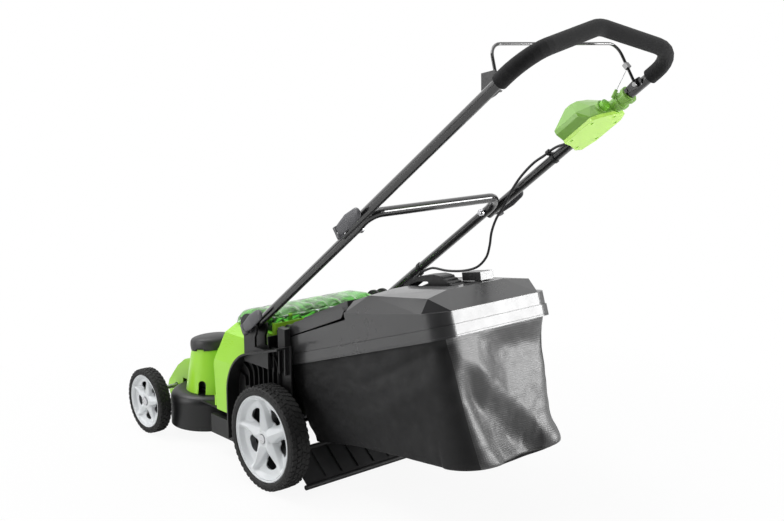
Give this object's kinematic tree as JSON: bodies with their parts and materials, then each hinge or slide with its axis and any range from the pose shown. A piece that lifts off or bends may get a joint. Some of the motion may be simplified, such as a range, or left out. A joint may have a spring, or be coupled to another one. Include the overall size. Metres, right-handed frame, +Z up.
{
  "type": "push lawn mower",
  "caption": "Walk-behind push lawn mower with a grass bag at the rear, a battery bay under a clear cover, cutting blades under a low deck and a folding handle with bail.",
  "frame": {"origin": "on the ground, at the middle of the mower's length and width", "axes": "+Z up; +Y towards the rear, where the user walks; +X towards the mower's left side"},
  "size_m": [0.55, 1.4294, 1.0941],
  "materials": {
    "deck_black": "textured black moulding",
    "shroud_green": "glossy bright green moulding",
    "cap_grey": "textured dark grey moulding",
    "clear_green": "clear green-tinted moulding",
    "battery_case": "satin black-green",
    "key_red": "satin red",
    "board_green": "lacquered board",
    "motor_can": "satin grey paint",
    "steel_bright": "zinc plated",
    "blade_steel": "black paint, bare edges",
    "axle_steel": "dull zinc plated",
    "lever_black": "textured black",
    "tyre_black": "ribbed black tread",
    "rim_silver": "satin silver",
    "door_grey": "fine textured dark grey",
    "shield_rubber": "matte black",
    "tube_black": "glossy black powder coat",
    "foam_black": "matte cellular foam",
    "cam_grey": "satin grey",
    "switch_green": "satin mid green",
    "plate_green": "satin light green",
    "button_green": "satin green",
    "cable_black": "matte black",
    "bag_cloth": "woven dark grey cloth",
    "frame_wire": "black"
  },
  "bodies": {
    "chassis": {"deck": "deck_black", "shroud": "shroud_green", "motor_cap_left": "cap_grey", "motor_cap_right": "cap_grey", "battery_left": "battery_case", "battery_right": "battery_case", "safety_key": "key_red", "controller_board": "board_green", "motor_left": "motor_can", "motor_right": "motor_can", "hinge_rods": "steel_bright", "door_spring": "axle_steel", "pivot_bolts": "steel_bright", "cable_lower": "cable_black"},
    "cutter_left": {"rotor_left": "steel_bright", "blade_left": "blade_steel"},
    "cutter_right": {"rotor_right": "steel_bright", "blade_right": "blade_steel"},
    "battery_cover": {"battery_cover": "clear_green"},
    "rear_door": {"rear_door": "door_grey"},
    "trail_shield": {"trail_shield": "shield_rubber", "trail_bar": "shield_rubber"},
    "rear_axle": {"rear_axle": "axle_steel", "axle_nuts_rear": "steel_bright"},
    "front_axle": {"front_axle": "axle_steel", "axle_nuts_front": "steel_bright"},
    "height_link": {"height_link": "axle_steel"},
    "height_lever": {"height_lever": "lever_black"},
    "wheel_rear_left": {"tyre_rear_left": "tyre_black", "rim_rear_left": "rim_silver"},
    "wheel_rear_right": {"tyre_rear_right": "tyre_black", "rim_rear_right": "rim_silver"},
    "wheel_front_left": {"tyre_front_left": "tyre_black", "rim_front_left": "rim_silver"},
    "wheel_front_right": {"tyre_front_right": "tyre_black", "rim_front_right": "rim_silver"},
    "lower_handle": {"lower_handle": "tube_black", "fold_bolts": "steel_bright", "cable_clip_lower": "lever_black", "cable_loop": "cable_black"},
    "upper_handle": {"upper_handle": "tube_black", "foam_grip": "foam_black", "bail_brackets": "lever_black", "switch_shell": "switch_green", "switch_plate": "plate_green", "cable_upper": "cable_black", "cable_clip_upper": "lever_black", "bail_wire": "axle_steel"},
    "bail": {"bail": "tube_black"},
    "start_button": {"start_button": "button_green"},
    "cam_lower_left": {"cam_lower_left": "cam_grey"},
    "cam_lower_right": {"cam_lower_right": "cam_grey"},
    "cam_upper_left": {"cam_upper_left": "cam_grey"},
    "cam_upper_right": {"cam_upper_right": "cam_grey"},
    "bag": {"bag_lid": "door_grey", "bag_band": "door_grey", "bag_grip": "lever_black", "bag_fabric": "bag_cloth", "bag_frame": "frame_wire"},
    "bag_flap": {"bag_flap": "door_grey"}
  },
  "joints": [
    {"name": "blade_spin_left", "type": "hinge", "parent": "chassis", "child": "cutter_left", "pos_m": [0.124, -0.52015, 0.054], "axis": [0, 0, 1], "continuous": true},
    {"name": "blade_spin_right", "type": "hinge", "parent": "chassis", "child": "cutter_right", "pos_m": [-0.124, -0.52015, 0.054], "axis": [0, 0, 1], "continuous": true},
    {"name": "cover_open", "type": "hinge", "parent": "chassis", "child": "battery_cover", "pos_m": [0, -0.15615, 0.39], "axis": [-1, 0, 0], "range_deg": [0, 75]},
    {"name": "door_open", "type": "hinge", "parent": "chassis", "child": "rear_door", "pos_m": [0, -0.12015, 0.368], "axis": [1, 0, 0], "range_deg": [0, 50], "stiffness_Nm_per_rad": 0.4, "springref_deg": -34.38},
    {"name": "shield_swing", "type": "hinge", "parent": "chassis", "child": "trail_shield", "pos_m": [0, -0.04015, 0.086], "axis": [1, 0, 0], "range_deg": [0, 38]},
    {"name": "height_rear", "type": "hinge", "parent": "chassis", "child": "rear_axle", "pos_m": [0, -0.12215, 0.134], "axis": [1, 0, 0], "range_deg": [-40, 6]},
    {"name": "height_front", "type": "hinge", "parent": "chassis", "child": "front_axle", "pos_m": [0, -0.66815, 0.096], "axis": [1, 0, 0], "range_deg": [-40, 6]},
    {"name": "height_link_turn", "type": "hinge", "parent": "rear_axle", "child": "height_link", "pos_m": [-0.2042, -0.12215, 0.174], "axis": [1, 0, 0], "range_deg": [-6, 40]},
    {"name": "height_lever_turn", "type": "hinge", "parent": "chassis", "child": "height_lever", "pos_m": [-0.2042, -0.41153, 0.11386], "axis": [1, 0, 0], "range_deg": [-40, 6]},
    {"name": "wheel_spin_rear_left", "type": "hinge", "parent": "rear_axle", "child": "wheel_rear_left", "pos_m": [0.243, -0.07015, 0.127], "axis": [1, 0, 0], "continuous": true},
    {"name": "wheel_spin_rear_right", "type": "hinge", "parent": "rear_axle", "child": "wheel_rear_right", "pos_m": [-0.243, -0.07015, 0.127], "axis": [1, 0, 0], "continuous": true},
    {"name": "wheel_spin_front_left", "type": "hinge", "parent": "front_axle", "child": "wheel_front_left", "pos_m": [0.256, -0.61615, 0.089], "axis": [1, 0, 0], "continuous": true},
    {"name": "wheel_spin_front_right", "type": "hinge", "parent": "front_axle", "child": "wheel_front_right", "pos_m": [-0.256, -0.61615, 0.089], "axis": [1, 0, 0], "continuous": true},
    {"name": "handle_tilt", "type": "hinge", "parent": "chassis", "child": "lower_handle", "pos_m": [0, -0.18215, 0.368], "axis": [1, 0, 0], "range_deg": [0, 120], "deforming": ["cable_lower"]},
    {"name": "handle_fold", "type": "hinge", "parent": "lower_handle", "child": "upper_handle", "pos_m": [0, 0.2022, 0.65553], "axis": [-1, 0, 0], "range_deg": [-155, 0], "deforming": ["cable_loop"]},
    {"name": "bail_pull", "type": "hinge", "parent": "upper_handle", "child": "bail", "pos_m": [0, 0.61698, 0.96583], "axis": [-1, 0, 0], "range_deg": [0, 55], "stiffness_Nm_per_rad": 1, "springref_deg": -28.65, "deforming": ["bail_wire"]},
    {"name": "button_press", "type": "slide", "parent": "upper_handle", "child": "start_button", "axis": [0, -0.8007, -0.599], "range_m": [0, 0.006], "stiffness_N_per_m": 300, "springref_m": -0.002},
    {"name": "cam_open_lower_left", "type": "hinge", "parent": "chassis", "child": "cam_lower_left", "pos_m": [0.2307, -0.18215, 0.368], "axis": [0, 0.599, -0.8007], "range_deg": [0, 110]},
    {"name": "cam_open_lower_right", "type": "hinge", "parent": "chassis", "child": "cam_lower_right", "pos_m": [-0.2307, -0.18215, 0.368], "axis": [0, -0.599, 0.8007], "range_deg": [0, 110]},
    {"name": "cam_open_upper_left", "type": "hinge", "parent": "lower_handle", "child": "cam_upper_left", "pos_m": [0.2467, 0.2022, 0.65553], "axis": [0, 0.599, -0.8007], "range_deg": [0, 110]},
    {"name": "cam_open_upper_right", "type": "hinge", "parent": "lower_handle", "child": "cam_upper_right", "pos_m": [-0.2467, 0.2022, 0.65553], "axis": [0, -0.599, 0.8007], "range_deg": [0, 110]},
    {"name": "bag_off", "type": "slide", "parent": "chassis", "child": "bag", "axis": [0, 0.9521, 0.3057], "range_m": [0, 0.35]},
    {"name": "flap_lift", "type": "hinge", "parent": "bag", "child": "bag_flap", "pos_m": [-0.06, 0.28872, 0.52442], "axis": [1, 0, 0], "range_deg": [0, 40]}
  ],
  "couplings": [
    {"joint": "height_front", "follows": "height_rear", "ratio": 1},
    {"joint": "height_link_turn", "follows": "height_rear", "ratio": -1},
    {"joint": "height_lever_turn", "follows": "height_rear", "ratio": 1}
  ]
}
